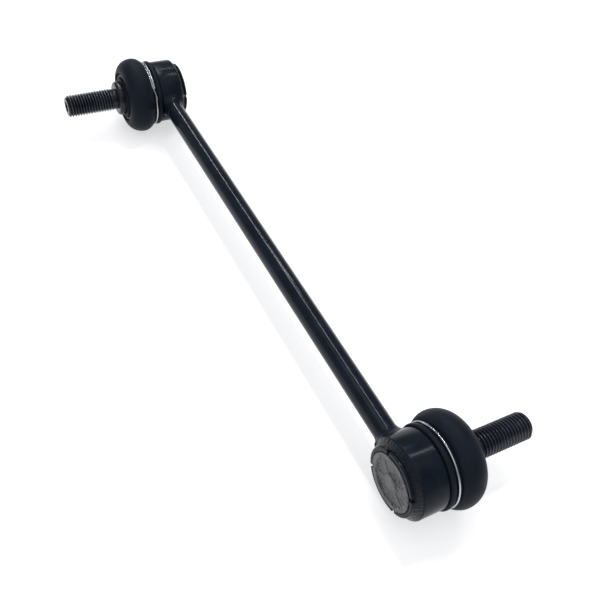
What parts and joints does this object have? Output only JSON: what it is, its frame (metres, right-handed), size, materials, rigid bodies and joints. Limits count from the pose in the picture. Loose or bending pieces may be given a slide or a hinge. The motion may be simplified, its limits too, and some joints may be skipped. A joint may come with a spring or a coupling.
{
  "type": "stabilizer link",
  "caption": "Straight steel rod with a sealed ball joint welded to each end; the threaded studs point opposite ways.",
  "frame": {"origin": "middle of the rod, which is the centre of the whole link's box", "axes": "+X along the rod from joint a to joint b, +Y along joint b's stud (joint a's stud points along -Y), +Z square to both"},
  "size_m": [0.3104, 0.1106, 0.0404],
  "materials": {
    "painted_steel": "glossy black electrocoat over steel",
    "cap_steel": "satin black coated steel",
    "coated_stud": "black phosphate and oil on rolled thread",
    "bright_steel": "bright rolled band",
    "plain_steel": "plain pressed sleeve",
    "spring_steel": "dark spring wire",
    "boot_rubber": "satin black moulded rubber",
    "seat_plastic": "natural moulded acetal"
  },
  "bodies": {
    "link": {"rod": "painted_steel", "housing_a": "painted_steel", "weld_bead_a": "painted_steel", "ball_seat_a": "seat_plastic", "end_cap_a": "cap_steel", "clamp_ring_a": "bright_steel", "housing_b": "painted_steel", "weld_bead_b": "painted_steel", "ball_seat_b": "seat_plastic", "end_cap_b": "cap_steel", "clamp_ring_b": "bright_steel"},
    "boot_a_body": {"boot_a": "boot_rubber"},
    "boot_lip_a": {"lip_ring_a": "plain_steel", "spring_ring_a": "spring_steel"},
    "stud_a": {"ball_stud_a": "coated_stud"},
    "boot_b_body": {"boot_b": "boot_rubber"},
    "boot_lip_b": {"lip_ring_b": "plain_steel", "spring_ring_b": "spring_steel"},
    "stud_b": {"ball_stud_b": "coated_stud"}
  },
  "joints": [
    {"name": "swing_direction_a", "type": "hinge", "parent": "link", "child": "boot_a_body", "pos_m": [-0.135, -0.0025, 0], "axis": [0, -1, 0], "continuous": true},
    {"name": "swing_a", "type": "hinge", "parent": "boot_a_body", "child": "boot_lip_a", "pos_m": [-0.135, -0.0025, 0], "axis": [1, 0, 0], "range_deg": [-22, 22], "deforming": ["boot_a"]},
    {"name": "stud_spin_a", "type": "hinge", "parent": "boot_lip_a", "child": "stud_a", "pos_m": [-0.135, -0.0025, 0], "axis": [0, -1, 0], "continuous": true},
    {"name": "swing_direction_b", "type": "hinge", "parent": "link", "child": "boot_b_body", "pos_m": [0.135, 0.0025, 0], "axis": [0, 1, 0], "continuous": true},
    {"name": "swing_b", "type": "hinge", "parent": "boot_b_body", "child": "boot_lip_b", "pos_m": [0.135, 0.0025, 0], "axis": [1, 0, 0], "range_deg": [-22, 22], "deforming": ["boot_b"]},
    {"name": "stud_spin_b", "type": "hinge", "parent": "boot_lip_b", "child": "stud_b", "pos_m": [0.135, 0.0025, 0], "axis": [0, 1, 0], "continuous": true}
  ]
}
